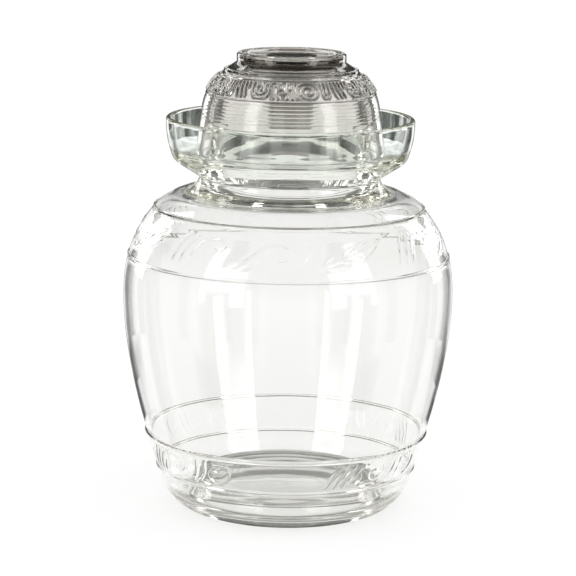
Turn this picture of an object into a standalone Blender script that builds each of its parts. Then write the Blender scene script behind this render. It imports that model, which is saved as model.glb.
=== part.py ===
"""Clear glass pickling jar with a water seal: a moulded jar, the flared ring that holds
the water round its mouth, and an upturned pressed-glass bowl that closes it.

Metres, +Z up. The origin is the centre of the face that the jar stands on, and every
piece is turned about the Z axis.
"""
import math

import bmesh
import bpy

# Driving dimensions of the jar: widths from the mouth out to the belly, and back in to
# the floor
MOUTH_RADIUS = 0.047
LIP_WALL = 0.0036
LEDGE_WIDTH = 0.0068
NECK_FLARE = 0.0074
CROWN_WIDTH = 0.0197
BELLY_SWELL = 0.0205
FLANK_DRAW = 0.0258
HEEL_DRAW = 0.0192
FOOT_BAND = 0.0055
FLOOR_INSET = 0.005
KICK_WALL = 0.0025
KICK_BEND = 0.008
GUTTER_WIDTH = 0.011

# Rises of the jar from the foot up, and its walls
HEEL_RISE = 0.017
FLANK_RISE = 0.120
SHOULDER_RISE = 0.059
CROWN_RISE = 0.0078
CROWN_SWELL = 0.0024
NECK_RISE = 0.0102
THROAT_DROP = 0.002
LIP_RISE = 0.0198
PUSH_UP = 0.0155
FLOOR_WALL = 0.0052
GUTTER_DROP = 0.0125
HOLLOW_CORNER_RISE = 0.0125
JAR_WALL = 0.0028

# Moulded bead rings of the jar: how far two run below the shoulder's edge and two above
# the heel, and the section they share
SHOULDER_RING_DROP = 0.0012
BELLY_RING_DROP = 0.032
UPPER_FLANK_RING_RISE = 0.0327
LOWER_FLANK_RING_RISE = 0.0103
RING_WIDTH = 0.0026
RING_RISE = 0.0010

# Driving dimensions of the water ring
SEAT_GAP = 0.0003
MOAT_FLOOR_WALL = 0.0129
MOAT_ROOM = 0.0035
MOAT_CORNER = 0.0063
MOAT_WALL = 0.0042
MOAT_WAIST_DROP = 0.0007
MOAT_DEPTH = 0.0242
MOAT_RIM_FLARE = 0.0041
MOAT_RIM_WALL = 0.0034

# Driving dimensions of the bowl that is the lid, from its rim in the moat up to its foot
LID_GAP = 0.0003
LIP_ROOM = 0.0063
BOWL_WALL = 0.0036
BOWL_SIDE_RISE = 0.0305
BOWL_SIDE_DRAW = 0.0045
BOWL_SHOULDER_RISE = 0.0265
BOWL_SHOULDER_WIDTH = 0.0185
BOWL_FOOT_RISE = 0.0079
BOWL_FOOT_STEP = 0.003
BOWL_FOOT_WALL = 0.0042
BOWL_RECESS_DEPTH = 0.0046
BOWL_BASE_WALL = 0.0053

# Moulded rings of the bowl, measured down from where its foot springs: one round the
# shoulder, the edges of the patterned band, and the fine rings below the band
COLLAR_RING_DROP = 0.003
COLLAR_RING_WIDTH = 0.0030
COLLAR_RING_RISE = 0.0009
BAND_DROP = 0.0057
BAND_WIDTH = 0.012
BAND_EDGE_WIDTH = 0.0012
BAND_EDGE_RISE = 0.0005
FINE_RING_DROP = 0.0026
FINE_RING_PITCH = 0.0034
FINE_RING_WIDTH = 0.0016
FINE_RING_RISE = 0.0004
FINE_RING_COUNT = 4

# Radii that follow from the widths
LIP_RADIUS = MOUTH_RADIUS + LIP_WALL
NECK_RADIUS = LIP_RADIUS + LEDGE_WIDTH
NECK_FOOT_RADIUS = NECK_RADIUS + NECK_FLARE
SHOULDER_RADIUS = NECK_FOOT_RADIUS + CROWN_WIDTH
BELLY_RADIUS = SHOULDER_RADIUS + BELLY_SWELL
HEEL_RADIUS = BELLY_RADIUS - FLANK_DRAW
FOOT_RADIUS = HEEL_RADIUS - HEEL_DRAW
FLOOR_RADIUS = FOOT_RADIUS - FLOOR_INSET
GUTTER_RADIUS = FLOOR_RADIUS + GUTTER_WIDTH
BAND_RADIUS = FOOT_RADIUS - FOOT_BAND
BOWL_RIM_RADIUS = LIP_RADIUS + LIP_ROOM + BOWL_WALL
BOWL_HIP_RADIUS = BOWL_RIM_RADIUS - BOWL_SIDE_DRAW
BOWL_SPRING_RADIUS = BOWL_HIP_RADIUS - BOWL_SHOULDER_WIDTH
BOWL_FOOT_RADIUS = BOWL_SPRING_RADIUS - BOWL_FOOT_STEP
MOAT_FLOOR_RADIUS = BOWL_RIM_RADIUS + MOAT_ROOM
MOAT_WAIST_RADIUS = MOAT_FLOOR_RADIUS + MOAT_CORNER + MOAT_WALL
MOAT_RIM_RADIUS = MOAT_WAIST_RADIUS + MOAT_RIM_FLARE

# Heights that follow from the rises
BELLY_HEIGHT = HEEL_RISE + FLANK_RISE
SHOULDER_HEIGHT = BELLY_HEIGHT + SHOULDER_RISE
NECK_FOOT_HEIGHT = SHOULDER_HEIGHT + CROWN_RISE
LEDGE_HEIGHT = NECK_FOOT_HEIGHT + NECK_RISE
FLOOR_HEIGHT = PUSH_UP + FLOOR_WALL
GUTTER_HEIGHT = FLOOR_HEIGHT - GUTTER_DROP
HOLLOW_HEIGHT = GUTTER_HEIGHT + HOLLOW_CORNER_RISE
SEAT_HEIGHT = LEDGE_HEIGHT + SEAT_GAP
MOAT_FLOOR_HEIGHT = SEAT_HEIGHT + MOAT_FLOOR_WALL
MOAT_WAIST_HEIGHT = MOAT_FLOOR_HEIGHT - MOAT_WAIST_DROP
MOAT_RIM_HEIGHT = MOAT_FLOOR_HEIGHT + MOAT_DEPTH
LIP_HEIGHT = MOAT_FLOOR_HEIGHT + LIP_RISE
BOWL_RIM_HEIGHT = MOAT_FLOOR_HEIGHT + LID_GAP
BOWL_HIP_HEIGHT = BOWL_RIM_HEIGHT + BOWL_SIDE_RISE
BOWL_SPRING_HEIGHT = BOWL_HIP_HEIGHT + BOWL_SHOULDER_RISE
BOWL_TOP_HEIGHT = BOWL_SPRING_HEIGHT + BOWL_FOOT_RISE
BOWL_RECESS_HEIGHT = BOWL_TOP_HEIGHT - BOWL_RECESS_DEPTH
BOWL_CEILING_HEIGHT = BOWL_RECESS_HEIGHT - BOWL_BASE_WALL

# How the curves bend, as shares of the stretch they cross
FLANK_POWER_SHARE = 1.70
SHOULDER_POWER_SHARE = 2.42
CROWN_REACH_SHARE = 0.44
HEEL_DROP_SHARE = 0.80
HOLLOW_REACH_SHARE = 0.86
GUTTER_REACH_SHARE = 0.30
MOAT_SIDE_SHARE = 0.55
BOWL_SHOULDER_REACH_SHARE = 0.89
BOWL_SHOULDER_DROP_SHARE = 0.415
BOWL_SIDE_REACH_SHARE = 0.45

# Fineness of the facets
TURN_STEPS = 48
BEND_STEPS = 5
EDGE_STEPS = 3
GUTTER_STEPS = 2
RIM_STEPS = 4
FINE_RING_STEPS = 2
MERGE_GAP = 0.00001


def bend(start, control, end, steps):
    """Points of a curve from start to end, drawn towards the control point."""
    points = []
    for step in range(steps + 1):
        t = step / steps
        points.append(tuple(
            (1 - t) ** 2 * a + 2 * t * (1 - t) * b + t ** 2 * c
            for a, b, c in zip(start, control, end)))
    return points


def round_edge(inner_radius, outer_radius, height, rise, upward, steps):
    """A half-round rim, crossed from its inner to its outer side."""
    middle = (inner_radius + outer_radius) / 2
    half = (outer_radius - inner_radius) / 2
    side = 1 if upward else -1
    points = []
    for step in range(steps + 1):
        angle = math.pi * (1 - step / steps)
        points.append((middle + half * math.cos(angle), height + side * rise * math.sin(angle)))
    return points


def place_on(curve, height):
    """Where a descending curve passes a height, and its downward direction there."""
    for (r0, z0), (r1, z1) in zip(curve, curve[1:]):
        if z0 >= height >= z1 and z0 > z1:
            share = (z0 - height) / (z0 - z1)
            length = math.hypot(r1 - r0, z1 - z0)
            return (r0 + share * (r1 - r0), height), ((r1 - r0) / length, (z1 - z0) / length)
    raise ValueError("The curve doesn't pass this height")


def with_ring(curve, height, width, rise, steps=EDGE_STEPS):
    """The curve with one half-round bead standing out of it at a height."""
    (middle_r, middle_z), (along_r, along_z) = place_on(curve, height)
    out_r, out_z = -along_z, along_r
    bead = []
    for step in range(steps + 1):
        angle = math.pi * step / steps
        along = -width / 2 * math.cos(angle)
        out = rise * math.sin(angle)
        bead.append((middle_r + along_r * along + out_r * out,
                     middle_z + along_z * along + out_z * out))
    above = [p for p in curve if p[1] > bead[0][1] + MERGE_GAP]
    below = [p for p in curve if p[1] < bead[-1][1] - MERGE_GAP]
    return above + bead + below


def inner_side(curve, wall):
    """The curve moved into the glass by the wall's thickness."""
    moved = []
    for index, (radius, height) in enumerate(curve):
        r0, z0 = curve[max(index - 1, 0)]
        r1, z1 = curve[min(index + 1, len(curve) - 1)]
        length = math.hypot(r1 - r0, z1 - z0)
        moved.append((radius + wall * (z1 - z0) / length, height - wall * (r1 - r0) / length))
    return moved


def shoulder_and_flank():
    """Outer side of the blown body, from the shoulder down to the heel."""
    points = []
    for step in range(BEND_STEPS + 1):
        share = 1 - step / BEND_STEPS
        drop = BELLY_SWELL * share ** SHOULDER_POWER_SHARE
        points.append((BELLY_RADIUS - drop, BELLY_HEIGHT + share * SHOULDER_RISE))
    flank_steps = 2 * BEND_STEPS
    for step in range(1, flank_steps + 1):
        share = step / flank_steps
        drop = FLANK_DRAW * share ** FLANK_POWER_SHARE
        points.append((BELLY_RADIUS - drop, BELLY_HEIGHT - share * FLANK_RISE))
    return points


def heel():
    """Rounded corner from the flank to the foot: it leaves along the flank's slope."""
    slope = FLANK_POWER_SHARE * FLANK_DRAW / FLANK_RISE
    drop = HEEL_DROP_SHARE * HEEL_RISE
    control = (HEEL_RADIUS - slope * drop, HEEL_RISE - drop)
    return bend((HEEL_RADIUS, HEEL_RISE), control, (FOOT_RADIUS, 0), BEND_STEPS)


def jar_outline():
    """Section of the jar: raised floor and gutter, hollow, lip, neck, belly and foot."""
    body = shoulder_and_flank()
    hollow = [p for p in inner_side(body, JAR_WALL) if p[1] > HOLLOW_HEIGHT]
    corner_top = hollow[-1]
    slope = (FLOOR_RADIUS + GUTTER_WIDTH / 2, FLOOR_HEIGHT - GUTTER_DROP / 2)
    reach = GUTTER_REACH_SHARE * GUTTER_WIDTH
    corner = (bend((FLOOR_RADIUS, FLOOR_HEIGHT), (FLOOR_RADIUS + reach, FLOOR_HEIGHT),
                   slope, GUTTER_STEPS)
              + bend(slope, (GUTTER_RADIUS - reach, GUTTER_HEIGHT),
                     (GUTTER_RADIUS, GUTTER_HEIGHT), GUTTER_STEPS)[1:]
              + bend((GUTTER_RADIUS, GUTTER_HEIGHT),
                     (GUTTER_RADIUS + HOLLOW_REACH_SHARE * (corner_top[0] - GUTTER_RADIUS),
                      GUTTER_HEIGHT), corner_top, EDGE_STEPS)[1:])
    crown_reach = CROWN_REACH_SHARE * CROWN_WIDTH
    crown = bend((NECK_FOOT_RADIUS, NECK_FOOT_HEIGHT),
                 (NECK_FOOT_RADIUS + crown_reach, NECK_FOOT_HEIGHT + CROWN_SWELL),
                 body[0], BEND_STEPS)
    inner_crown = inner_side(crown, JAR_WALL)[1:-1]
    throat = bend(inner_crown[0], (MOUTH_RADIUS, inner_crown[0][1]),
                  (MOUTH_RADIUS, LEDGE_HEIGHT - THROAT_DROP), GUTTER_STEPS)
    lip = round_edge(MOUTH_RADIUS, LIP_RADIUS, LIP_HEIGHT - LIP_WALL / 2,
                     LIP_WALL / 2, True, RIM_STEPS)
    neck = bend((NECK_RADIUS, LEDGE_HEIGHT),
                (NECK_RADIUS, (LEDGE_HEIGHT + NECK_FOOT_HEIGHT) / 2),
                (NECK_FOOT_RADIUS, NECK_FOOT_HEIGHT), EDGE_STEPS)
    outer = crown[:-1] + body
    for height in (SHOULDER_HEIGHT - SHOULDER_RING_DROP, SHOULDER_HEIGHT - BELLY_RING_DROP,
                   HEEL_RISE + UPPER_FLANK_RING_RISE, HEEL_RISE + LOWER_FLANK_RING_RISE):
        outer = with_ring(outer, height, RING_WIDTH, RING_RISE)
    foot = [(BAND_RADIUS, 0)] + bend(
        (BAND_RADIUS, 0), (BAND_RADIUS - KICK_WALL, PUSH_UP),
        (BAND_RADIUS - KICK_BEND, PUSH_UP), GUTTER_STEPS)[1:] + [(0, PUSH_UP)]
    return ([(0, FLOOR_HEIGHT)] + corner + hollow[::-1][1:]
            + inner_crown[:0:-1] + throat + lip + [(LIP_RADIUS, LEDGE_HEIGHT)]
            + neck[:-1] + outer[:-1] + heel() + foot)


def water_ring_outline():
    """Section of the ring: a thick floor on the neck's ledge and a flared outer wall."""
    bore = LIP_RADIUS + SEAT_GAP
    rim_inner = MOAT_RIM_RADIUS - MOAT_RIM_WALL
    edge_rise = MOAT_RIM_WALL / 2
    rim_height = MOAT_RIM_HEIGHT - edge_rise
    inner_wall = bend((MOAT_FLOOR_RADIUS, MOAT_FLOOR_HEIGHT),
                      (MOAT_FLOOR_RADIUS + MOAT_CORNER, MOAT_FLOOR_HEIGHT),
                      (rim_inner, rim_height), BEND_STEPS)
    rim = round_edge(rim_inner, MOAT_RIM_RADIUS, rim_height, edge_rise, True, RIM_STEPS)
    side_height = rim_height - MOAT_SIDE_SHARE * (rim_height - MOAT_WAIST_HEIGHT)
    outer_wall = bend((MOAT_RIM_RADIUS, rim_height), (MOAT_RIM_RADIUS, side_height),
                      (MOAT_WAIST_RADIUS, MOAT_WAIST_HEIGHT), EDGE_STEPS)
    underside = bend((MOAT_WAIST_RADIUS, MOAT_WAIST_HEIGHT),
                     (MOAT_WAIST_RADIUS - MOAT_WALL / 2, MOAT_WAIST_HEIGHT - MOAT_WALL),
                     (NECK_RADIUS, SEAT_HEIGHT), EDGE_STEPS)
    return ([(bore, SEAT_HEIGHT), (bore, MOAT_FLOOR_HEIGHT)] + inner_wall[:-1] + rim
            + outer_wall[1:-1] + underside + [(bore, SEAT_HEIGHT)])


def bowl_outline():
    """Section of the upturned bowl: foot ring, shoulder, side, rim and hollow."""
    foot_inner = BOWL_FOOT_RADIUS - BOWL_FOOT_WALL
    edge_rise = BOWL_FOOT_WALL / 3
    foot_edge_height = BOWL_TOP_HEIGHT - edge_rise
    foot_edge = round_edge(foot_inner, BOWL_FOOT_RADIUS, foot_edge_height, edge_rise,
                           True, RIM_STEPS)
    shoulder = bend((BOWL_SPRING_RADIUS, BOWL_SPRING_HEIGHT),
                    (BOWL_SPRING_RADIUS + BOWL_SHOULDER_REACH_SHARE * BOWL_SHOULDER_WIDTH,
                     BOWL_SPRING_HEIGHT - BOWL_SHOULDER_DROP_SHARE * BOWL_SHOULDER_RISE),
                    (BOWL_HIP_RADIUS, BOWL_HIP_HEIGHT), 2 * BEND_STEPS)
    rim_height = BOWL_RIM_HEIGHT + BOWL_WALL / 2
    side = bend((BOWL_HIP_RADIUS, BOWL_HIP_HEIGHT),
                (BOWL_HIP_RADIUS + BOWL_SIDE_REACH_SHARE * BOWL_SIDE_DRAW,
                 (BOWL_HIP_HEIGHT + rim_height) / 2),
                (BOWL_RIM_RADIUS, rim_height), EDGE_STEPS)
    outer = shoulder + side[1:]
    inner = [p for p in inner_side(outer, BOWL_WALL) if p[1] < BOWL_CEILING_HEIGHT - BOWL_WALL]
    ceiling = bend((0, BOWL_CEILING_HEIGHT), (inner[0][0], BOWL_CEILING_HEIGHT), inner[0],
                   EDGE_STEPS)
    rim = round_edge(inner[-1][0], BOWL_RIM_RADIUS, rim_height, BOWL_WALL / 2, False,
                     RIM_STEPS)
    outer = with_ring(outer, BOWL_SPRING_HEIGHT - COLLAR_RING_DROP,
                      COLLAR_RING_WIDTH, COLLAR_RING_RISE)
    band_top = BOWL_SPRING_HEIGHT - BAND_DROP
    for height in (band_top, band_top - BAND_WIDTH):
        outer = with_ring(outer, height, BAND_EDGE_WIDTH, BAND_EDGE_RISE)
    for number in range(FINE_RING_COUNT):
        height = band_top - BAND_WIDTH - FINE_RING_DROP - number * FINE_RING_PITCH
        outer = with_ring(outer, height, FINE_RING_WIDTH, FINE_RING_RISE, FINE_RING_STEPS)
    return ([(0, BOWL_RECESS_HEIGHT), (foot_inner, BOWL_RECESS_HEIGHT)] + foot_edge
            + [(BOWL_FOOT_RADIUS, BOWL_SPRING_HEIGHT + edge_rise)] + outer[:-1] + rim[::-1]
            + inner[::-1][1:] + ceiling[::-1][1:])


def glass(name, colour, roughness):
    """A clear glass with a faint tint of its own."""
    material = bpy.data.materials.new(name)
    material.use_nodes = True
    shader = material.node_tree.nodes["Principled BSDF"]
    shader.inputs["Base Color"].default_value = (*colour, 1)
    shader.inputs["Roughness"].default_value = roughness
    shader.inputs["Metallic"].default_value = 0
    shader.inputs["IOR"].default_value = 1.52
    shader.inputs["Transmission Weight"].default_value = 1
    return material


def turned(name, outline, material):
    """One solid of revolution: the outline is drawn at +X and screwed about Z.

    An outline that starts and ends on the axis is an open line, and any other is a
    closed loop whose last point is its first. It runs down its outer side.
    """
    mesh = bpy.data.meshes.new(name)
    section = bmesh.new()
    points = [section.verts.new((radius, 0, height)) for radius, height in outline]
    for start, end in zip(points, points[1:]):
        section.edges.new((start, end))
    bmesh.ops.remove_doubles(section, verts=section.verts, dist=MERGE_GAP)
    section.to_mesh(mesh)
    section.free()
    piece = bpy.data.objects.new(name, mesh)
    bpy.context.scene.collection.objects.link(piece)
    screw = piece.modifiers.new("Turn", "SCREW")
    screw.axis = "Z"
    screw.steps = TURN_STEPS
    screw.render_steps = TURN_STEPS
    screw.use_merge_vertices = True
    screw.merge_threshold = MERGE_GAP
    screw.use_smooth_shade = True
    mesh.materials.append(material)
    return piece


def build():
    for old in list(bpy.data.objects):
        bpy.data.objects.remove(old)
    turned("jar_body", jar_outline(), glass("body_glass", (0.93, 0.94, 0.92), 0.02))
    turned("seal_collar", water_ring_outline(), glass("ring_glass", (0.78, 0.87, 0.82), 0.02))
    turned("bowl_lid", bowl_outline(), glass("lid_glass", (0.90, 0.90, 0.88), 0.03))


build()
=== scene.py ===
# %% [markdown]
# # A glass pickling jar with a water seal
# The jar is three pieces of clear glass. A moulded belly stands on a thick foot. A
# flared ring is fused round its neck and holds the water that seals it. An upturned
# bowl of pressed glass stands in that water and is the lid.
#
# Everything here is built round a fixed frame, the solid model of the same jar. It could
# be modelled by eye in an empty scene, but then the glass would not sit where the solids
# are. So the script starts by loading the frame and reads the glass's sizes from its boxes.

# %% Load the frame
import math

import bpy
import numpy as np
from mathutils import Matrix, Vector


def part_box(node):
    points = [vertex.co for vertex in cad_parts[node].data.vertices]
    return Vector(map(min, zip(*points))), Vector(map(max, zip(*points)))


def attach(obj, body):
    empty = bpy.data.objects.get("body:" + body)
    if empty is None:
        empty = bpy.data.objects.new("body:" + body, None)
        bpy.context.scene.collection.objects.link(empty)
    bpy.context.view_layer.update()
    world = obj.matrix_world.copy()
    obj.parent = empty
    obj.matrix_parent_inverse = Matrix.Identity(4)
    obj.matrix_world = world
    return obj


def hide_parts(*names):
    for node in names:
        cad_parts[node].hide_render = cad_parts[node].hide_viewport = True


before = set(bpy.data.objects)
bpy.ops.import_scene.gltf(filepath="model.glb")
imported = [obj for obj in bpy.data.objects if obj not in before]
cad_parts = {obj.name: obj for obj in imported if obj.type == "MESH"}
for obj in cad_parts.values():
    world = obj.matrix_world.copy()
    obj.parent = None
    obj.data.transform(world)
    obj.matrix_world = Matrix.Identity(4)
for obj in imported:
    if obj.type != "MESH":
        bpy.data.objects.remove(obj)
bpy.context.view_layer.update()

scene = bpy.context.scene
print("frame:", sorted(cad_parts))

# %% [markdown]
# ## Sizes from the frame
# A glassmaker starts from the outer sizes: how wide the belly is, how high the lip and
# the ring stand, and where the bowl sits. They could be typed again, but the boxes of
# the frame's solids keep the glass in step with them. The walls, the rings and the
# curves in between have no box, so they are given in millimetres where they are made.

# %% Sizes from the frame
MM = 0.001
belly_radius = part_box("jar_body")[1].x
lip_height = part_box("jar_body")[1].z
rim_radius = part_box("seal_collar")[1].x
rim_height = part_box("seal_collar")[1].z
seat_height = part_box("seal_collar")[0].z
lid_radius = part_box("bowl_lid")[1].x
lid_foot_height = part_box("bowl_lid")[0].z
lid_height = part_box("bowl_lid")[1].z
print("belly", round(2 * belly_radius / MM), "mm wide, jar", round(lid_height / MM),
      "mm high")

# %% [markdown]
# ## The belly's side
# The belly was blown into a mould. Its side is two curves that meet at the widest line,
# flat near that line and quicker towards the shoulder and the heel. It could be traced
# with a Bezier curve, but a power of the height gives the same swell from two numbers
# that are easy to set. A section is a list of (radius, height) points.

# %% The belly's side
belly_height = 137 * MM
shoulder_inset, heel_inset = 20.5 * MM, 25.8 * MM
shoulder = (belly_radius - shoulder_inset, 196 * MM)
heel = (belly_radius - heel_inset, 17 * MM)
shoulder_power, flank_power = 2.42, 1.70
shoulder_steps, flank_steps = 16, 28

belly_side = []
for step in range(shoulder_steps, -1, -1):
    share = step / shoulder_steps
    belly_side.append((belly_radius - shoulder_inset * share ** shoulder_power,
                       belly_height + share * (shoulder[1] - belly_height)))
for step in range(1, flank_steps + 1):
    share = step / flank_steps
    belly_side.append((belly_radius - heel_inset * share ** flank_power,
                       belly_height - share * (belly_height - heel[1])))
print("belly side:", len(belly_side), "points")

# %% [markdown]
# ## Bends
# Hot glass has no sharp corners: neck, moat and foot run into each other in soft bends,
# and every free edge is fire-polished round. Each corner could be beveled afterwards, but
# a bevel keeps one radius all the way. One helper draws a bend from a start to an end,
# pulled towards a third point, and a second one draws a rounded edge.


# %% Bends and round edges
def bend(start, control, end, steps):
    """Points of a curve from start to end, drawn towards the control point."""
    return [tuple((1 - t) ** 2 * a + 2 * t * (1 - t) * b + t ** 2 * c
                  for a, b, c in zip(start, control, end))
            for t in (step / steps for step in range(steps + 1))]


def round_edge(inner, outer, height, rise, steps):
    """A half-round edge from an inner radius to an outer one. A negative rise hangs."""
    middle, half = (inner + outer) / 2, (outer - inner) / 2
    return [(middle - half * math.cos(math.pi * step / steps),
             height + rise * math.sin(math.pi * step / steps)) for step in range(steps + 1)]


quarter = bend((0, 0), (1, 0), (1, 1), 3)
print("a quarter bend:", [(round(x, 2), round(y, 2)) for x, y in quarter])

# %% [markdown]
# ## Walls
# A blown wall follows its outer face at an even distance. A Solidify modifier would do
# that for a whole shell, but here the wall changes from place to place, and the floor and
# the lip have other shapes inside than outside. So the section holds both faces of the
# glass, and this helper moves a curve into the glass, square to its own slope.


# %% The inner side of a wall
def inner_side(curve, thickness):
    """The curve moved into the glass by the wall's thickness."""
    moved = []
    for index, (radius, height) in enumerate(curve):
        r0, z0 = curve[max(index - 1, 0)]
        r1, z1 = curve[min(index + 1, len(curve) - 1)]
        length = math.hypot(r1 - r0, z1 - z0)
        moved.append((radius + thickness * (z1 - z0) / length,
                      height - thickness * (r1 - r0) / length))
    return moved


belly_wall = 2.8 * MM
hollow_foot = 20.7 * MM
hollow = [point for point in inner_side(belly_side, belly_wall) if point[1] > hollow_foot]
print("hollow:", round(2 * max(radius for radius, _ in hollow) / MM, 1), "mm wide inside")

# %% [markdown]
# ## The floor inside
# The bottom of such a jar is pushed up, so the floor is a raised flat panel with a gutter
# round it, where the glass turns up into the wall. A flat slab would be simpler, but
# through the clear foot it would show as one dark block. Three bends join the panel, the
# gutter and the hollow.

# %% The floor, from the axis to the wall
floor_radius, floor_height = 55 * MM, 20.7 * MM
gutter = (66 * MM, 8.2 * MM)
flat_shares = (0, 0.2, 0.4, 0.6, 0.8)
gutter_reach = 0.3 * (gutter[0] - floor_radius)
wall_reach = 0.86 * (hollow[-1][0] - gutter[0])
gutter_side = ((floor_radius + gutter[0]) / 2, (floor_height + gutter[1]) / 2)

floor = [(floor_radius * share, floor_height) for share in flat_shares]
floor += bend((floor_radius, floor_height), (floor_radius + gutter_reach, floor_height),
              gutter_side, 8)
floor += bend(gutter_side, (gutter[0] - gutter_reach, gutter[1]), gutter, 8)[1:]
floor += bend(gutter, (gutter[0] + wall_reach, gutter[1]), hollow[-1], 12)[1:]
print("floor:", len(floor), "points, gutter",
      round((floor_height - gutter[1]) / MM, 1), "mm deep")

# %% [markdown]
# ## The crown, the throat and the lip
# Between the neck and the first bead ring lies a low crown. Inside, the wall follows it up
# to the throat, and the throat ends in the lip that stands in the moat. The crown could
# be part of the belly's power curve, but on the real jar it is nearly flat, so it is a
# bend of its own.

# %% The crown, the throat and the lip
neck_foot = (64.8 * MM, 203.8 * MM)
crown_reach, crown_rise = 0.44 * (shoulder[0] - neck_foot[0]), 2.4 * MM
crown_pull = (neck_foot[0] + crown_reach, neck_foot[1] + crown_rise)
mouth_radius, throat_height = 47 * MM, 212 * MM
lip_wall = 3.6 * MM
lip_radius = mouth_radius + lip_wall

crown = bend(neck_foot, crown_pull, shoulder, 12)
inner_crown = inner_side(crown, belly_wall)[1:-1]
throat = bend(inner_crown[0], (mouth_radius, inner_crown[0][1]),
              (mouth_radius, throat_height), 8)
lip = round_edge(mouth_radius, lip_radius, lip_height - lip_wall / 2, lip_wall / 2, 10)
print("mouth:", round(2 * mouth_radius / MM), "mm, lip", round(lip_wall / MM, 1), "mm thick")

# %% [markdown]
# ## The moat
# The flared ring is pressed apart and fused to the neck while both are soft, so its
# floor and the neck are one skin of glass here. Its wall keeps one thickness up to the
# rim. A wall that thins upwards is easier to draw, but it is a prism all round, and it
# would bend every view through it down to the table.

# %% The moat, its wall and the neck
moat_floor = (64 * MM, 227.2 * MM)
moat_waist = (74.5 * MM, 226.5 * MM)
waist_drop, rim_wall = 4.2 * MM, 3.4 * MM
moat_corner, wall_foot, corner_lean = 2 * MM, 7 * MM, 1.2 * MM
rim_upright = 0.55
neck_radius = 57.4 * MM
rim_edge_height = rim_height - rim_wall / 2

moat = bend((lip_radius, moat_floor[1] + moat_corner), (lip_radius, moat_floor[1]),
            (lip_radius + moat_corner, moat_floor[1]), 4)
rim = round_edge(rim_radius - rim_wall, rim_radius, rim_edge_height, rim_wall / 2, 10)
rim_pull = (rim_radius, rim_edge_height - rim_upright * (rim_edge_height - moat_waist[1]))
ring_outside = bend((rim_radius, rim_edge_height), rim_pull, moat_waist, 16)
ring_inside = [point for point in inner_side(ring_outside, rim_wall)
               if point[1] > moat_floor[1] + wall_foot][::-1]
moat += bend(moat_floor, (ring_inside[0][0] - corner_lean, moat_floor[1]), ring_inside[0], 12)
moat += ring_inside[1:]
underside = bend(moat_waist, (moat_waist[0] - waist_drop / 2, moat_waist[1] - waist_drop),
                 (neck_radius, seat_height), 10)
neck = bend((neck_radius, seat_height), (neck_radius, (seat_height + neck_foot[1]) / 2),
            neck_foot, 8)
print("moat:", round((ring_inside[0][0] - lip_radius) / MM, 1), "mm wide")

# %% [markdown]
# ## The foot
# The jar stands on a narrow flat band, and inside it the bottom is pushed up so that it
# never rocks. The band could come from an inset on a flat bottom, but it is a turned
# shape like the rest, so it joins the same section.

# %% The heel and the pushed-up bottom
foot_radius, foot_band = 60 * MM, 5.5 * MM
push_up, push_bend, push_lean = 15.5 * MM, 8 * MM, 2.5 * MM
band_radius = foot_radius - foot_band
push_radius = band_radius - push_bend
heel_slope = flank_power * heel_inset / (belly_height - heel[1])
heel_drop = 0.80 * heel[1]

foot = bend(heel, (heel[0] - heel_slope * heel_drop, heel[1] - heel_drop),
            (foot_radius, 0), 14)
foot += bend((band_radius, 0), (band_radius - push_lean, push_up), (push_radius, push_up), 10)
foot += [(push_radius * share, push_up) for share in reversed(flat_shares)]
print("foot:", round(2 * foot_radius / MM), "mm across")

# %% [markdown]
# ## Bead rings
# Four rounded beads run round the belly, cut into the mould as grooves. Each could be a
# torus laid on the wall, but then glass would lie inside glass and show a dark line where
# they meet. So a bead is part of the section: the outer curve is opened at its height and
# a small swell is put in, square to the slope.


# %% A bead on a slope
def with_ring(curve, height, width, rise, steps=8):
    """A falling curve with a rounded bead standing out of it at a height."""
    for index, ((r0, z0), (r1, z1)) in enumerate(zip(curve, curve[1:])):
        if z0 >= height >= z1 and z0 > z1:
            share = (z0 - height) / (z0 - z1)
            length = math.hypot(r1 - r0, z1 - z0)
            along = ((r1 - r0) / length, (z1 - z0) / length)
            middle = (r0 + share * (r1 - r0), height)
            break
    bead = []
    for step in range(steps + 1):
        way = width * (step / steps - 0.5)
        out = rise * (0.5 + 0.5 * math.cos(2 * math.pi * way / width))
        bead.append((middle[0] + along[0] * way - along[1] * out,
                     middle[1] + along[1] * way + along[0] * out))
    margin = 0.1 * width
    above = [p for i, p in enumerate(curve)
             if i <= index and math.dist(p, bead[0]) > margin and p[1] > bead[0][1]]
    below = [p for i, p in enumerate(curve)
             if i > index and math.dist(p, bead[-1]) > margin and p[1] < bead[-1][1]]
    return above + bead + below


# height, width and rise of each bead, from the top one down
beads = [(194.8 * MM, 2.4 * MM, 0.85 * MM), (164.0 * MM, 2.6 * MM, 0.75 * MM),
         (49.7 * MM, 2.5 * MM, 0.95 * MM), (27.3 * MM, 2.4 * MM, 0.85 * MM)]
outside = crown[:-1] + belly_side
for height, width, rise in beads:
    outside = with_ring(outside, height, width, rise)
print("outside of the belly:", len(outside), "points with its beads")

# %% [markdown]
# ## Room for the relief
# Between the beads lie two moulded bands, leaves above and scrolls below. Their lines are
# about 1.5 mm wide and the plain wall has a point only every 4 mm, so these stretches
# need a finer mesh. Subdividing the whole jar would make over a million triangles. So the
# section is cut at the bands, and only their parts get more points and more steps.


# %% Finer stretches and cuts
def finer(curve, low, high, spacing):
    """The curve with more points between two heights."""
    points = [curve[0]]
    for start, end in zip(curve, curve[1:]):
        cuts = 1
        if low < (start[1] + end[1]) / 2 < high:
            cuts = max(1, round(math.dist(start, end) / spacing))
        points += [tuple(a + (b - a) * cut / cuts for a, b in zip(start, end))
                   for cut in range(1, cuts + 1)]
    return points


def cut_at(curve, *heights):
    """A falling curve cut in pieces at the given heights."""
    marks = [0] + [min(i for i, p in enumerate(curve) if p[1] < h) for h in heights]
    return [curve[a:b] for a, b in zip(marks, marks[1:] + [len(curve)])]


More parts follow.
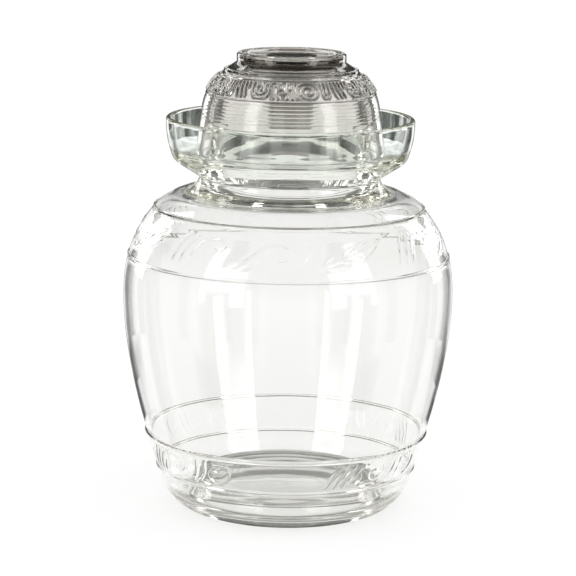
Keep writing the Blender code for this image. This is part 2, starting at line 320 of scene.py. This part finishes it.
band_margin, band_spacing = 3.2 * MM, 0.9 * MM
leaf_band = (beads[0][0] - band_margin, beads[1][0] + band_margin)
scroll_band = (beads[2][0] - band_margin, beads[3][0] + band_margin)
for top, low in (leaf_band, scroll_band):
    outside = finer(outside, low, top, band_spacing)
upper, leaves, middle, scrolls, lower = cut_at(outside[:-1], *leaf_band, *scroll_band)

plain_steps, fine_steps = 180, 720
inside = floor + hollow[::-1][1:] + inner_crown[:0:-1] + throat
ring = lip + moat + rim[1:] + ring_outside[1:] + underside[1:] + neck[1:-1]
jar_parts = [(inside + ring + upper, plain_steps, None),
             (leaves, fine_steps, "leaves"), (middle, plain_steps, None),
             (scrolls, fine_steps, "scrolls"), (lower + foot, plain_steps, None)]
print("jar:", [len(part) for part, _, _ in jar_parts], "points in its parts")

# %% [markdown]
# ## Spinning a section
# Turned glass is one section swung round its axis. A Screw modifier does this too, but
# in edit mode each step can be seen: a point is drawn out from place to place by extrude,
# and the chain is spun through a full turn. A spin leaves doubles on the axis and at the
# seam, so they are merged.


# %% Spin one part
def spun_part(section, steps, label):
    """One part of a skin, spun from its piece of the section."""
    bpy.ops.object.select_all(action="DESELECT")
    bpy.ops.mesh.primitive_plane_add(size=MM, location=(0, 0, 0))
    part = bpy.context.object
    bpy.ops.object.mode_set(mode="EDIT")
    bpy.ops.mesh.select_all(action="SELECT")
    bpy.ops.mesh.merge(type="CENTER")
    radius, height = section[0]
    bpy.ops.transform.translate(value=(radius, 0, height))
    for radius_step, height_step in np.diff(np.array(section), axis=0):
        bpy.ops.mesh.extrude_region_move(
            TRANSFORM_OT_translate={"value": (float(radius_step), 0, float(height_step))})
    bpy.ops.mesh.select_all(action="SELECT")
    bpy.ops.mesh.spin(steps=steps, angle=2 * math.pi, center=(0, 0, 0), axis=(0, 0, 1))
    bpy.ops.mesh.select_all(action="SELECT")
    bpy.ops.mesh.remove_doubles(threshold=0.02 * MM)
    bpy.ops.object.mode_set(mode="OBJECT")
    if label:
        group = part.vertex_groups.new(name=label)
        group.add(list(range(len(part.data.vertices))), 1.0, "REPLACE")
    return part


print("parts are spun about the jar's axis")

# %% [markdown]
# ## One closed skin
# Light bends at every face of glass, so a piece must be one closed skin that faces
# outwards, with no wall inside it. The spun parts are joined, and where two of them meet
# their open loops are bridged: Bridge Edge Loops also joins a loop of 180 points to one
# of 720. A Boolean union would do it too, but it leaves slivers that show in glass.


# %% Join the parts into a skin
def places(piece):
    """The piece's vertices as angle round the axis, radius and height."""
    points = np.empty(3 * len(piece.data.vertices))
    piece.data.vertices.foreach_get("co", points)
    points = points.reshape(-1, 3)
    return (np.arctan2(points[:, 1], points[:, 0]), np.hypot(points[:, 0], points[:, 1]),
            points[:, 2])


def bridge_gap(piece, edges):
    """Bridges the two open loops that lie at the given (radius, height) places."""
    _, radius, height = places(piece)
    at_gap = np.zeros(len(radius), dtype=bool)
    for edge_radius, edge_height in edges:
        at_gap |= np.hypot(radius - edge_radius, height - edge_height) < 0.01 * MM
    bpy.ops.object.mode_set(mode="EDIT")
    bpy.ops.mesh.select_mode(type="VERT")
    bpy.ops.mesh.select_all(action="DESELECT")
    bpy.ops.object.mode_set(mode="OBJECT")
    piece.data.vertices.foreach_set("select", at_gap)
    bpy.ops.object.mode_set(mode="EDIT")
    bpy.ops.mesh.bridge_edge_loops()
    bpy.ops.object.mode_set(mode="OBJECT")


def turned(name, parts):
    """One closed skin of glass from parts of a section, each with its own steps."""
    spun = [spun_part(*part) for part in parts]
    bpy.ops.object.select_all(action="DESELECT")
    for part in spun:
        part.select_set(True)
    piece = bpy.context.view_layer.objects.active = spun[0]
    bpy.ops.object.join()
    piece.name = name
    for (above, _, _), (below, _, _) in zip(parts, parts[1:]):
        bridge_gap(piece, (above[-1], below[0]))
    bpy.ops.object.mode_set(mode="EDIT")
    bpy.ops.mesh.select_all(action="SELECT")
    bpy.ops.mesh.normals_make_consistent(inside=False)
    bpy.ops.object.mode_set(mode="OBJECT")
    bpy.ops.object.shade_smooth()
    print(name, sum(len(face.vertices) - 2 for face in piece.data.polygons), "triangles")
    return piece


jar_glass = turned("jar_glass", jar_parts)

# %% [markdown]
# ## The bowl that is the lid
# The lid is an ordinary pressed-glass bowl, upside down: its foot ring is on top and its
# rim stands in the moat. It could start from a sphere, but a pressed bowl has a straight
# foot, a full hip and a flaring side, so it is a turned section again, drawn from the
# spring of the foot down to the rim.

# %% The bowl's outer side
bowl_spring = (37.5 * MM, 284.5 * MM)
bowl_hip = (56 * MM, 258 * MM)
bowl_wall = 3.6 * MM
bowl_rim_height = lid_foot_height + bowl_wall / 2
hip_reach, hip_drop, flare_reach = 0.89, 0.415, 0.45
spring_pull = (bowl_spring[0] + hip_reach * (bowl_hip[0] - bowl_spring[0]),
               bowl_spring[1] - hip_drop * (bowl_spring[1] - bowl_hip[1]))
flare_pull = (bowl_hip[0] + flare_reach * (lid_radius - bowl_hip[0]),
              (bowl_hip[1] + bowl_rim_height) / 2)

bowl_outside = bend(bowl_spring, spring_pull, bowl_hip, 28)
bowl_outside += bend(bowl_hip, flare_pull, (lid_radius, bowl_rim_height), 12)[1:]
print("bowl side:", len(bowl_outside), "points")

# %% [markdown]
# ## Inside the bowl and its foot
# The plunger of the press leaves an even wall and a flat bottom inside, and the foot ring
# holds a shallow recess. Both follow the outer side, so their points come from it with
# the helpers of the belly.

# %% The bowl's inside, rim and foot
bowl_ceiling = 282.5 * MM
bowl_foot_radius, bowl_foot_wall = 34.5 * MM, 4.2 * MM
foot_inner, foot_edge = bowl_foot_radius - bowl_foot_wall, 1.4 * MM
recess_height, recess_corner = lid_height - 4.6 * MM, 2 * MM

bowl_inside = [point for point in inner_side(bowl_outside, bowl_wall)
               if point[1] < bowl_ceiling - bowl_wall]
bowl_rim = round_edge(bowl_inside[-1][0], lid_radius, bowl_rim_height, -bowl_wall / 2, 10)
ceiling = bend((0, bowl_ceiling), (bowl_inside[0][0], bowl_ceiling), bowl_inside[0], 10)
bowl_top = bend((0, recess_height), (foot_inner, recess_height),
                (foot_inner, recess_height + recess_corner), 8)
bowl_top += round_edge(foot_inner, bowl_foot_radius, lid_height - foot_edge, foot_edge, 10)
bowl_top += [(bowl_foot_radius, bowl_spring[1] + 2 * MM)]
print("bowl: hollow", round((bowl_ceiling - lid_foot_height) / MM, 1), "mm deep")

# %% [markdown]
# ## Rings on the bowl
# A heavy ring runs under the foot, a small one borders the key band on each side, and six
# fine turning marks follow below it. The marks stand out by an eighth of a millimetre, so
# a bump map would show them too, but the mesh is kept as a result in itself and carries
# them as well.

# %% The bowl's rings and its parts
key_top, key_foot = 278.8 * MM, 266.8 * MM
key_margin, key_spacing = 0.9 * MM, 0.45 * MM
mark_top, mark_spacing, mark_count = 264.2 * MM, 2.35 * MM, 6

# height, width and rise of each ring: the heavy one, the two borders and the marks
bowl_rings = [(281.5 * MM, 3.2 * MM, 1.0 * MM)]
bowl_rings += [(height, 1.4 * MM, 0.5 * MM) for height in (key_top, key_foot)]
bowl_rings += [(mark_top - mark_spacing * number, 1.5 * MM, 0.13 * MM)
               for number in range(mark_count)]
bowl_outside = finer(bowl_outside, key_foot, key_top, key_spacing)
for height, width, rise in bowl_rings:
    bowl_outside = with_ring(bowl_outside, height, width, rise)
upper, keys, lower = cut_at(bowl_outside[:-1], key_top - key_margin, key_foot + key_margin)
bowl_steps, key_steps = 192, 768
bowl_parts = [(bowl_top + upper, bowl_steps, None), (keys, key_steps, "keys"),
              (lower + bowl_rim[::-1] + bowl_inside[::-1][1:] + ceiling[::-1][1:],
               bowl_steps, None)]
bowl_glass = turned("bowl_lid_glass", bowl_parts)

# %% [markdown]
# ## How a relief is raised
# A mould maker cuts a pattern as lines of one width with soft edges. It could be sculpted,
# or painted as a height picture. Here each line is a short list of places in millimetres,
# across the band and up it. Every vertex of the band gets a weight from its distance to
# the nearest line, and a Displace modifier lifts it along its normal by that weight.


# %% Lines and distances
def softened(points, rounds=2):
    """A line with its corners cut off, as a mould maker rounds them."""
    for _ in range(rounds):
        cut = [points[0]]
        for (x0, y0), (x1, y1) in zip(points, points[1:]):
            cut += [((1 - t) * x0 + t * x1, (1 - t) * y0 + t * y1) for t in (0.25, 0.75)]
        points = cut + [points[-1]]
    return points


def line_distance(across, up, line):
    """How far each place lies from a line of points."""
    nearest = np.full(len(across), np.inf)
    for (x0, y0), (x1, y1) in zip(line, line[1:]):
        dx, dy = x1 - x0, y1 - y0
        share = ((across - x0) * dx + (up - y0) * dy) / max(dx * dx + dy * dy, 1e-9)
        share = np.clip(share, 0, 1)
        away = np.hypot(across - x0 - share * dx, up - y0 - share * dy)
        nearest = np.minimum(nearest, away)
    return nearest


print("a line of 3 points softens to", len(softened([(0, 0), (1, 0), (1, 1)])))

# %% [markdown]
# ## Wrapping a pattern round the glass
# The band is slanted, so its height is measured along the seam of the mesh, and its width
# along the circle. The pattern repeats a whole number of times, and each line is also
# tried one repeat to the left and right, so nothing is cut where two repeats meet. At the
# band's edges the weight falls to nothing, which keeps the skin closed to its neighbours.


# %% Raise a relief
def band_places(piece, label, repeats, turn):
    """The band's vertices, their places across and up it, its height and one repeat."""
    angle, radius, height = places(piece)
    number = piece.vertex_groups[label].index
    chosen = np.array([vertex.index for vertex in piece.data.vertices
                       if any(group.group == number for group in vertex.groups)])
    seam = chosen[np.abs(angle[chosen]) < 1e-4]
    seam = seam[np.argsort(height[seam])]
    slant = np.cumsum(np.hypot(np.diff(radius[seam]), np.diff(height[seam])))
    slant = np.concatenate([[0], slant]) / MM
    up = np.interp(height[chosen], height[seam], slant) - slant[-1] / 2
    repeat = 2 * math.pi * radius[seam].mean() / repeats / MM
    across = (angle[chosen] - math.radians(turn)) / (2 * math.pi) * repeats % 1 * repeat
    return chosen, across, up, slant[-1], repeat


def raise_relief(piece, label, repeats, turn, lines, width, edge, rise):
    """Raises the lines of a pattern, drawn in mm, out of a band of the skin."""
    chosen, across, up, slant, repeat = band_places(piece, label, repeats, turn)
    weight = np.zeros(len(chosen))
    for line in lines:
        for shift in (-repeat, 0, repeat):
            nearest = line_distance(across + shift, up, softened(line))
            way = np.clip((width / 2 + edge / 2 - nearest) / edge, 0, 1)
            weight = np.maximum(weight, way * way * (3 - 2 * way))
    weight *= np.clip((slant / 2 - np.abs(up)) / edge, 0, 1)
    for index, share in zip(chosen, weight):
        piece.vertex_groups[label].add([int(index)], float(share), "REPLACE")
    bpy.ops.object.select_all(action="DESELECT")
    piece.select_set(True)
    bpy.context.view_layer.objects.active = piece
    lift = piece.modifiers.new(label, "DISPLACE")
    lift.vertex_group = label
    lift.strength, lift.mid_level = rise, 0
    bpy.ops.object.modifier_apply(modifier=lift.name)
    print(label, "band:", round(repeat, 1), "mm a repeat,", int((weight > 0.5).sum()),
          "vertices raised")


# %% [markdown]
# ## The key band
# Keys, or a meander, are a very old border. On this bowl square spirals, forks and slanted
# strokes take turns, five times round. A repeating Array would stack one sign, but the
# band mixes several, so one repeat is drawn line by line.

# %% The key band of the bowl
key_lines = [
    [(0.6, 6.0), (0.6, -2.0), (3.2, -5.6), (9.2, -5.6), (11.8, -2.0), (11.8, 4.6),
     (14.6, 6.0)],
    [(9.2, 6.0), (9.2, -2.8), (3.4, -2.8), (3.4, 3.4), (6.4, 3.4), (6.4, 0.0)],
    [(14.8, 3.2), (14.8, -5.6)], [(17.6, 6.0), (17.6, 0.6), (20.2, 0.6)],
    [(17.6, -5.6), (17.6, -2.2), (22.8, -2.2)], [(20.2, 3.4), (20.2, -0.4)],
    [(22.8, 6.0), (22.8, -5.6)], [(25.6, 3.2), (25.6, -5.6)], [(25.6, 0.4), (22.8, 0.4)],
    [(28.4, -5.6), (28.4, 5.2), (40.8, 5.2), (40.8, -5.4), (31.2, -5.4), (31.2, 2.2),
     (38.0, 2.2), (38.0, -2.6), (34.4, -2.6), (34.4, -0.4)],
    [(43.6, 6.0), (43.6, -3.6), (46.2, -6.2), (48.8, -3.6), (48.8, 6.0)],
    [(46.2, 5.4), (46.2, -2.6)],
    [(51.4, 5.8), (51.6, -1.0), (53.4, -5.6)], [(54.0, 5.8), (54.4, 0.6), (56.4, -5.4)],
    [(56.8, 5.8), (57.2, 1.6), (59.0, -4.8)], [(59.6, 5.8), (59.8, 1.6)]]
raise_relief(bowl_glass, "keys", 5, 25.3, key_lines, width=1.4, edge=0.6, rise=1.5 * MM)

# %% [markdown]
# ## Leaves and scrolls
# The belly's mould has leaves on a stem in its upper band and scrolls in its lower one.
# Blowing presses the glass less hard than a plunger does, so these lines are lower and
# softer than the keys. They use the same helper with other sizes.

# %% The relief bands of the belly
leaf_lines = [
    [(4, -9), (12, -10), (24, -8), (38, 0), (47, 9)],
    [(4, -9), (10, -2), (22, 5), (36, 9), (47, 9)],
    [(4, -9), (18, -3), (34, 4), (47, 9)], [(14, -5), (15, -1), (20, 2)],
    [(21, -2), (23, 2), (29, 6)], [(29, 2), (31, 5), (37, 8)], [(17, -4), (24, -6), (28, -5)],
    [(26, 0), (33, -2), (37, 0)],
    [(58, -9), (62, 4), (67, 9)], [(64, -9), (68, 3), (73, 8)], [(70, -9), (74, 2), (79, 7)],
    [(84, 8), (92, 9), (96, 4), (92, 0), (88, 3)],
    [(100, -8), (110, -3), (118, 5), (128, 8), (137, 4), (135, -3), (128, -4)],
    [(106, -10), (117, -7), (124, -1)], [(140, -8), (146, -1), (150, 7)]]
raise_relief(jar_glass, "leaves", 4, 8.8, leaf_lines, width=1.5, edge=1.4, rise=0.4 * MM)
scroll_lines = [
    [(26, -7), (30, 1), (35, 8)], [(31, -8), (34, 0), (40, 7)], [(36, -8), (39, 0), (45, 7)],
    [(41, -8), (44, -1), (50, 6)],
    [(53, 6), (60, 8), (67, 4), (66, -3), (59, -5), (56, 0), (60, 2)],
    [(72, -8), (77, -1), (78, 8)], [(77, -8), (83, -1), (84, 8)],
    [(90, 7), (97, 8), (101, 3), (99, -4), (92, -7)], [(89, 1), (94, 0)]]
raise_relief(jar_glass, "scrolls", 4, 0, scroll_lines, width=1.3, edge=1.2, rise=0.3 * MM)

# %% [markdown]
# ## Shader maths
# A finish is a small graph of nodes. It could be wired by hand, one link at a time, but
# written as sums it is easier to read. This class wraps a node's socket, so that
# height * 2 or 1 - mask adds the Math node by itself. Its method node makes any other
# node, with its settings first and then the values or links of its sockets.


# %% Shader maths
class Value:
    """A socket that can be used in sums."""

    def __init__(self, tree, socket=None):
        self.tree, self.socket = tree, socket

    def node(self, kind, inputs=(), output=0, **settings):
        node = self.tree.nodes.new(kind)
        for name, value in settings.items():
            setattr(node, name, value)
        for name, value in dict(inputs).items():
            if isinstance(value, Value):
                self.tree.links.new(value.socket, node.inputs[name])
            else:
                node.inputs[name].default_value = value
        return Value(self.tree, node.outputs[output])

    def maths(self, operation, first, second=0.0):
        return self.node("ShaderNodeMath", {0: first, 1: second}, operation=operation)

    def finish(self, **ends):
        kind = "ShaderNodeOutputMaterial"
        if isinstance(self.tree.id_data, bpy.types.World):
            kind = "ShaderNodeOutputWorld"
        out = self.tree.nodes.new(kind)
        for name, value in ends.items():
            self.tree.links.new(value.socket, out.inputs[name])

    def __add__(self, other):
        return self.maths("ADD", self, other)

    def __rsub__(self, other):
        return self.maths("SUBTRACT", other, self)

    def __mul__(self, other):
        return self.maths("MULTIPLY", self, other)

    __radd__, __rmul__ = __add__, __mul__


def new_material(name):
    material = bpy.data.materials.new(name)
    material.use_nodes = True
    material.node_tree.nodes.clear()
    return material, Value(material.node_tree)


print("sums that nodes can do:", [name.strip("_") for name in vars(Value)
                                  if name in ("__add__", "__rsub__", "__mul__")])

# %% [markdown]
# ## Clear glass
# Bottle glass is not quite clear: each face takes a little of the light, its depth takes
# more, and the hand-made ring is greener and wavier than the moulded belly. Real caustics
# through three pieces of glass would need thousands of samples. So the surface is a
# Principled shader with full transmission, but for shadow rays it is plainly
# transparent, and an absorbing volume gives the thick places their colour. The bowl's
# glass takes more in its depth, which darkens its thick foot and leaves its walls clear.


# %% The glass
waves_per_metre, wave_height, wave_strength = 38.0, 0.2 * MM, 0.5
tinge_fade = 3 * MM


def clear_glass(name, tint, tinge, tinge_foot, wave, shadow, core, density):
    """Glass that lets the lamps through; above a height it has a tinge and more waves."""
    material, make = new_material(name)
    place = make.node("ShaderNodeTexCoord", output="Object")
    height = make.node("ShaderNodeSeparateXYZ", {0: place}, output="Z")
    above = make.node("ShaderNodeMapRange", {"Value": height, "From Min": tinge_foot,
                                             "From Max": tinge_foot + tinge_fade})
    colour = make.node("ShaderNodeMix", {0: above, 6: (*tint, 1), 7: (*tinge, 1)},
                       output=2, data_type="RGBA")
    ripple = make.node("ShaderNodeTexNoise", {"Vector": place, "Scale": waves_per_metre,
                                              "Detail": 1.0})
    bump = make.node("ShaderNodeBump", {"Height": ripple * (1 + above * wave),
                                        "Distance": wave_height, "Strength": wave_strength})
    surface = make.node("ShaderNodeBsdfPrincipled",
                        {"Base Color": colour, "Roughness": 0.0, "IOR": 1.5,
                         "Transmission Weight": 1.0, "Normal": bump})
    shadow_ray = make.node("ShaderNodeLightPath", output="Is Shadow Ray")
    clear = make.node("ShaderNodeBsdfTransparent", {"Color": (*shadow, 1)})
    surface = make.node("ShaderNodeMixShader", {0: shadow_ray, 1: surface, 2: clear})
    depth = make.node("ShaderNodeVolumeAbsorption", {"Color": (*core, 1), "Density": density})
    make.finish(Surface=surface, Volume=depth)
    return material


body_glass = clear_glass("body_glass", tint=(0.976, 0.975, 0.969), tinge=(0.955, 0.98, 0.965),
                         tinge_foot=seat_height - 2 * MM, wave=4.0,
                         shadow=(0.95, 0.955, 0.945), core=(0.68, 0.67, 0.45), density=6.0)
lid_glass = clear_glass("lid_glass", tint=(0.98, 0.963, 0.948), tinge=(0.90, 0.888, 0.868),
                        tinge_foot=key_foot, wave=0.0,
                        shadow=(0.90, 0.90, 0.89), core=(0.48, 0.45, 0.41), density=45.0)
for piece, material in ((jar_glass, body_glass), (bowl_glass, lid_glass)):
    piece.data.materials.clear()
    piece.data.materials.append(material)
    print(piece.name, "is made of", material.name)

# %% [markdown]
# ## What moves, and what stands for what
# The bowl lifts off and the jar stays, so each skin rides on one body of the frame. Two
# skins stand for three solids, because the ring is fused to the jar: keeping it apart
# would leave a gap inside the glass that the real jar doesn't have.

# %% Ride on the frame
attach(jar_glass, "jar")
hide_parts("jar_body", "seal_collar")
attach(bowl_glass, "lid")
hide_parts("bowl_lid")
print("jar_glass rides on jar, bowl_lid_glass rides on lid")

# %% [markdown]
# ## The camera
# The jar is seen from the front, a little from above, through a long lens, which keeps
# the rings nearly parallel. A wide lens close by would show the same jar with bulging
# curves. The camera is rolled by less than a degree, as a hand-held one is.

# %% Camera
camera_data = bpy.data.cameras.new("camera")
camera_data.lens = 157.5
camera_place, looks_down, rolled = (0, -1.5806, 0.4512), 11.09, 0.9
camera = bpy.data.objects.new("camera", camera_data)
scene.collection.objects.link(camera)
camera.matrix_world = (Matrix.Translation(camera_place)
                       @ Matrix.Rotation(math.radians(90 - looks_down), 4, "X")
                       @ Matrix.Rotation(math.radians(rolled), 4, "Z"))
scene.camera = camera
print("camera lens:", camera_data.lens, "mm")

# %% [markdown]
# ## The floor
# The jar stands on a plain white floor. Glass shows what lies behind it, so the floor has
# two answers. Where lamps light it, it is plain matt white. Where the eye, a reflection
# or a view through glass meets it, it glows a little, so it stays white up to the
# horizon, and its matt share keeps the shadow. Under the foot, only glass sees a dark
# ring: there the real jar sees its own shade, which draws its dark lower edge.


# %% The floor
def seen_by_glass_or_eye(make):
    """1 where the eye, a reflection or a view through glass meets the surface."""
    path = [make.node("ShaderNodeLightPath", output=f"Is {kind} Ray")
            for kind in ("Camera", "Glossy", "Transmission")]
    return make.maths("MINIMUM", path[0] + path[1] + path[2], 1.0)


def rise_between(make, value, start, end):
    """0 where the value is at start, 1 where it is at end, and even in between."""
    return make.node("ShaderNodeMapRange",
                     {"Value": value, "From Min": start, "From Max": end})


floor_side = 24
shade_inner_edge, shade_outer_edge = (50 * MM, 60 * MM), (72 * MM, 64 * MM)
lamp_white, matt_white, glow_share = (0.8, 0.8, 0.8, 1), (0.40, 0.40, 0.40, 1), 0.63
shade_colour, shade_glow = (0.95, 1.0, 0.85, 1), 0.08

bpy.ops.object.select_all(action="DESELECT")
bpy.ops.mesh.primitive_plane_add(size=floor_side, location=(0, 0, 0))
ground = bpy.context.object
ground.name = "studio_floor"
material, make = new_material("white_floor")
place = make.node("ShaderNodeTexCoord", output="Object")
reach = make.node("ShaderNodeVectorMath", {0: place}, output="Value", operation="LENGTH")
under_foot = (rise_between(make, reach, *shade_outer_edge)
              * rise_between(make, reach, *shade_inner_edge))
eye = make.node("ShaderNodeLightPath", output="Is Camera Ray")
glow = make.node("ShaderNodeEmission", {"Strength": glow_share})
matt = make.node("ShaderNodeBsdfDiffuse", {"Color": matt_white})
lit = make.node("ShaderNodeAddShader", {0: glow, 1: matt})
shade = make.node("ShaderNodeEmission", {"Color": shade_colour, "Strength": shade_glow})
lit = make.node("ShaderNodeMixShader", {0: under_foot * (1 - eye), 1: lit, 2: shade})
plain = make.node("ShaderNodeBsdfDiffuse", {"Color": lamp_white})
make.finish(Surface=make.node("ShaderNodeMixShader",
                              {0: seen_by_glass_or_eye(make), 1: plain, 2: lit}))
ground.data.materials.append(material)
print("floor:", tuple(round(side) for side in ground.dimensions), "m")

# %% [markdown]
# ## Cards round the jar
# Clear glass on a white ground would vanish. A photographer stands dark cards beside and
# behind it, and the glass draws its own outline from them, while softboxes give it its
# bright stripes. Lamps would light the floor as well, so here cards and softboxes are
# planes that only glass can see. Each card fades out at its sides and its top, because a
# hard edge would show as a line in the glass.


# %% A card or softbox
def panel(name, azimuth, distance, half_angle, foot, top, strength, soft=0.6,
          tone=(1, 1, 1)):
    """An upright card or softbox that only the glass sees."""
    bpy.ops.object.select_all(action="DESELECT")
    bpy.ops.mesh.primitive_plane_add(size=1, location=(0, 0, 0))
    card = bpy.context.object
    card.name = name
    width = 2 * distance * math.tan(math.radians(half_angle))
    card.matrix_world = (Matrix.Rotation(math.radians(azimuth), 4, "Z")
                         @ Matrix.Translation((distance, 0, (foot + top) / 2))
                         @ Matrix.Rotation(math.radians(90), 4, "Y")
                         @ Matrix.Diagonal((top - foot, width, 1, 1)))
    material, make = new_material(name)
    glow = make.node("ShaderNodeEmission", {"Color": (*tone, 1), "Strength": strength})
    if soft:
        place = make.node("ShaderNodeTexCoord", output="Object")
        across = make.node("ShaderNodeSeparateXYZ", {0: place}, output="Y")
        aside = make.maths("ABSOLUTE", across)
        above = make.node("ShaderNodeSeparateXYZ", {0: place}, output="X") * -1
        fade = make.node("ShaderNodeMapRange",
                         {"Value": make.maths("MAXIMUM", aside, above),
                          "From Min": 0.5 * (1 - soft), "From Max": 0.5},
                         interpolation_type="SMOOTHSTEP")
        clear = make.node("ShaderNodeBsdfTransparent", {"Color": (1, 1, 1, 1)})
        glow = make.node("ShaderNodeMixShader", {0: fade, 1: glow, 2: clear})
    make.finish(Surface=glow)
    card.data.materials.append(material)
    card.visible_camera = card.visible_diffuse = card.visible_shadow = False
    return card


print("a card can fade at its sides and its top")

# %% [markdown]
# ## Where the cards stand
# The jar has to look right from every side, so the set is made once and turned by a
# quarter four times. Low, middle and tall flags stand one behind the other, because each
# height of the belly's edge looks at another distance. The cards close behind the lid
# are what the thick collar and the bowl show as dark.

# %% Flags, softboxes and cards
# the distance, half angle, foot and top of each kind, and how bright it is
flags = {"tall_flag": (0.455, 12, 0.0, 0.24, 0.12), "middle_flag": (0.30, 11, 0.0, 0.16, 0.3),
         "low_flag": (0.21, 11, 0.0, 0.075, 0.12)}
softbox, edge_flag = (1.1, 16, 0.1, 1.2, 3.2), (0.46, 5.5, 0.0, 0.55, 0.2)
back_card, high_card = (0.17, 6.5, 0.212, 0.265, 0.24), (0.172, 7.5, 0.258, 0.42, 0.04)
side_card = (0.17, 9, 0.212, 0.40, 0.07)
edge_turn, side_turn = 23.5, 29

cards = []
for number in range(4):
    straight, diagonal = 90 * number, 45 + 90 * number
    for kind, sizes in flags.items():
        cards.append(panel(f"{kind}_{number}", diagonal, *sizes))
    panel(f"softbox_{number}", diagonal, *softbox, soft=0)
    cards.append(panel(f"back_card_{number}", straight, *back_card, soft=0.2,
                       tone=(1.05, 0.98, 0.92)))
    cards.append(panel(f"high_card_{number}", straight, *high_card, soft=0.1,
                       tone=(1.0, 1.0, 0.97)))
    for side in (-1, 1):
        place_number = 2 * number + (side > 0)
        cards.append(panel(f"edge_flag_{place_number}", diagonal + side * edge_turn,
                           *edge_flag))
        cards[-1].visible_transmission = False
        cards.append(panel(f"side_card_{place_number}", straight + side * side_turn,
                           *side_card, soft=0.15, tone=(0.95, 1.08, 0.93)))
print("cards:", len(cards))

# %% [markdown]
# ## The room
# The room is white at eye level and falls off to a dark ceiling, which gives the curved
# tops of the glass their grey. The eye and the matt floor see it as plain white, so the
# ground stays even. An HDR picture would give richer reflections, but a direction and a
# range are enough for a plain studio and need no file.

# %% World
world = bpy.data.worlds.new("studio")
scene.world = world
world.use_nodes = True
world.node_tree.nodes.clear()
make = Value(world.node_tree)
direction = make.node("ShaderNodeTexCoord", output="Generated")
height = make.node("ShaderNodeSeparateXYZ", {0: direction}, output="Z")
wall_top, ceiling_edge, ceiling_light = 0.04, 0.36, 0.15
room = make.node("ShaderNodeMapRange", {"Value": height, "From Min": wall_top,
                                        "From Max": ceiling_edge, "To Min": 1.0,
                                        "To Max": ceiling_light})
plainly = (make.node("ShaderNodeLightPath", output="Is Camera Ray")
           + make.node("ShaderNodeLightPath", output="Is Diffuse Ray"))
level = make.node("ShaderNodeMix", {0: plainly, 2: room, 3: 1.0}, data_type="FLOAT")
make.finish(Surface=make.node("ShaderNodeBackground", {"Color": (1, 1, 1, 1),
                                                       "Strength": level}))
print("room:", len(world.node_tree.nodes), "nodes")

# %% [markdown]
# ## Bounces
# A ray through this jar crosses up to a dozen faces of glass, and some are caught inside
# the walls for longer. With Blender's usual twelve bounces they would end black, so the
# limits are raised. The view transform is Standard, so white stays white.

# %% View and bounces
scene.view_settings.view_transform = "Standard"
bounces = 32
scene.cycles.max_bounces = bounces
scene.cycles.transmission_bounces = bounces
scene.cycles.glossy_bounces = bounces
scene.cycles.transparent_max_bounces = bounces
print("bounces:", bounces)

# %% [markdown] ## The end
